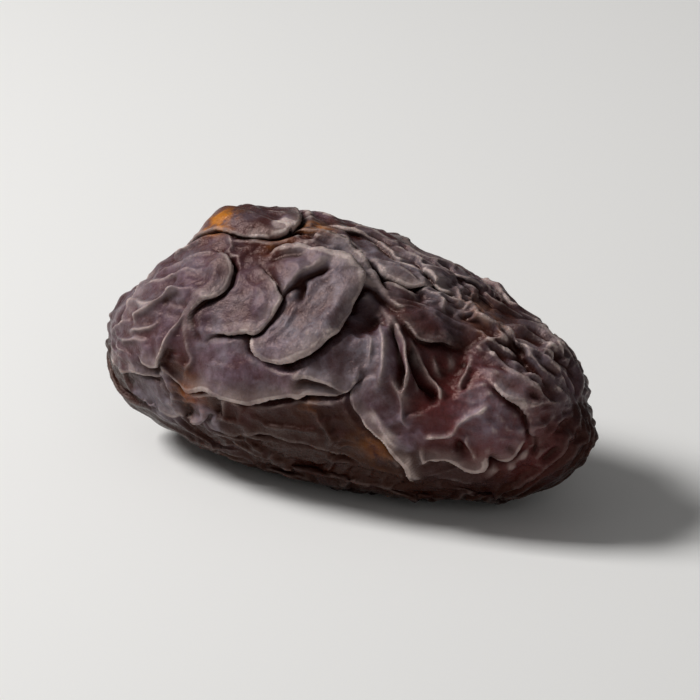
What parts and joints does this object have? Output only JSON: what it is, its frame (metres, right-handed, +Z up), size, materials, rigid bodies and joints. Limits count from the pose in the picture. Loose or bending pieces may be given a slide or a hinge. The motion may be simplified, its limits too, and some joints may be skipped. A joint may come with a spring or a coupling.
{
  "type": "date",
  "caption": "Dried Medjool date lying on its side, with shrivelled, folded skin and a flat settled underside; table food or kitchen set dressing.",
  "frame": {"origin": "under the middle of the bounding box, on the flat that it rests on", "axes": "+X from the stem end to the tip along the fruit, +Z up, +Y to the left when looking towards the tip"},
  "size_m": [0.049, 0.025, 0.0237],
  "materials": {
    "date_skin": "wrinkled dark red-brown fruit skin with a soft sheen and a pale bloom on the raised plates"
  },
  "bodies": {
    "root": {"date": "date_skin"}
  },
  "joints": []
}
